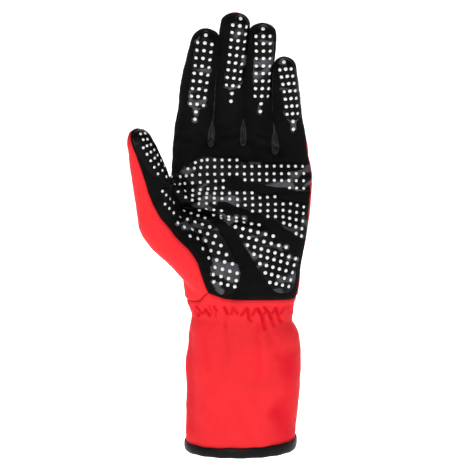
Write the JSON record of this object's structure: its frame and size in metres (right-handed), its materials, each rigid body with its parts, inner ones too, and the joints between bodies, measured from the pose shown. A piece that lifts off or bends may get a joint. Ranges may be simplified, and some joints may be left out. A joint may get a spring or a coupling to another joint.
{
  "type": "karting glove",
  "caption": "left-hand karting glove in worn shape, with a long gathered red cuff, red back and a black palm with a raised dotted grip print",
  "frame": {"origin": "middle of the hand opening, in the plane of the hem", "axes": "+X across the palm away from the thumb, -Y out of the palm, +Z along the glove to the fingertips"},
  "size_m": [0.1302, 0.0688, 0.3139],
  "materials": {
    "suede": "black synthetic suede",
    "red_cloth": "bright red woven polyester",
    "stretch_knit": "dark stretch knit",
    "binding": "black woven tape",
    "print": "satin black silicone"
  },
  "bodies": {
    "root": {"palm_panel": "suede", "back_panel": "red_cloth", "thumb_panel": "red_cloth", "fourchette_index_middle": "stretch_knit", "fourchette_middle_ring": "stretch_knit", "fourchette_ring_little": "stretch_knit", "cuff": "red_cloth", "hem_binding": "binding", "palm_grip": "print", "index_grip": "print", "middle_grip": "print", "ring_grip": "print", "little_grip": "print", "thumb_grip": "print"}
  },
  "joints": []
}
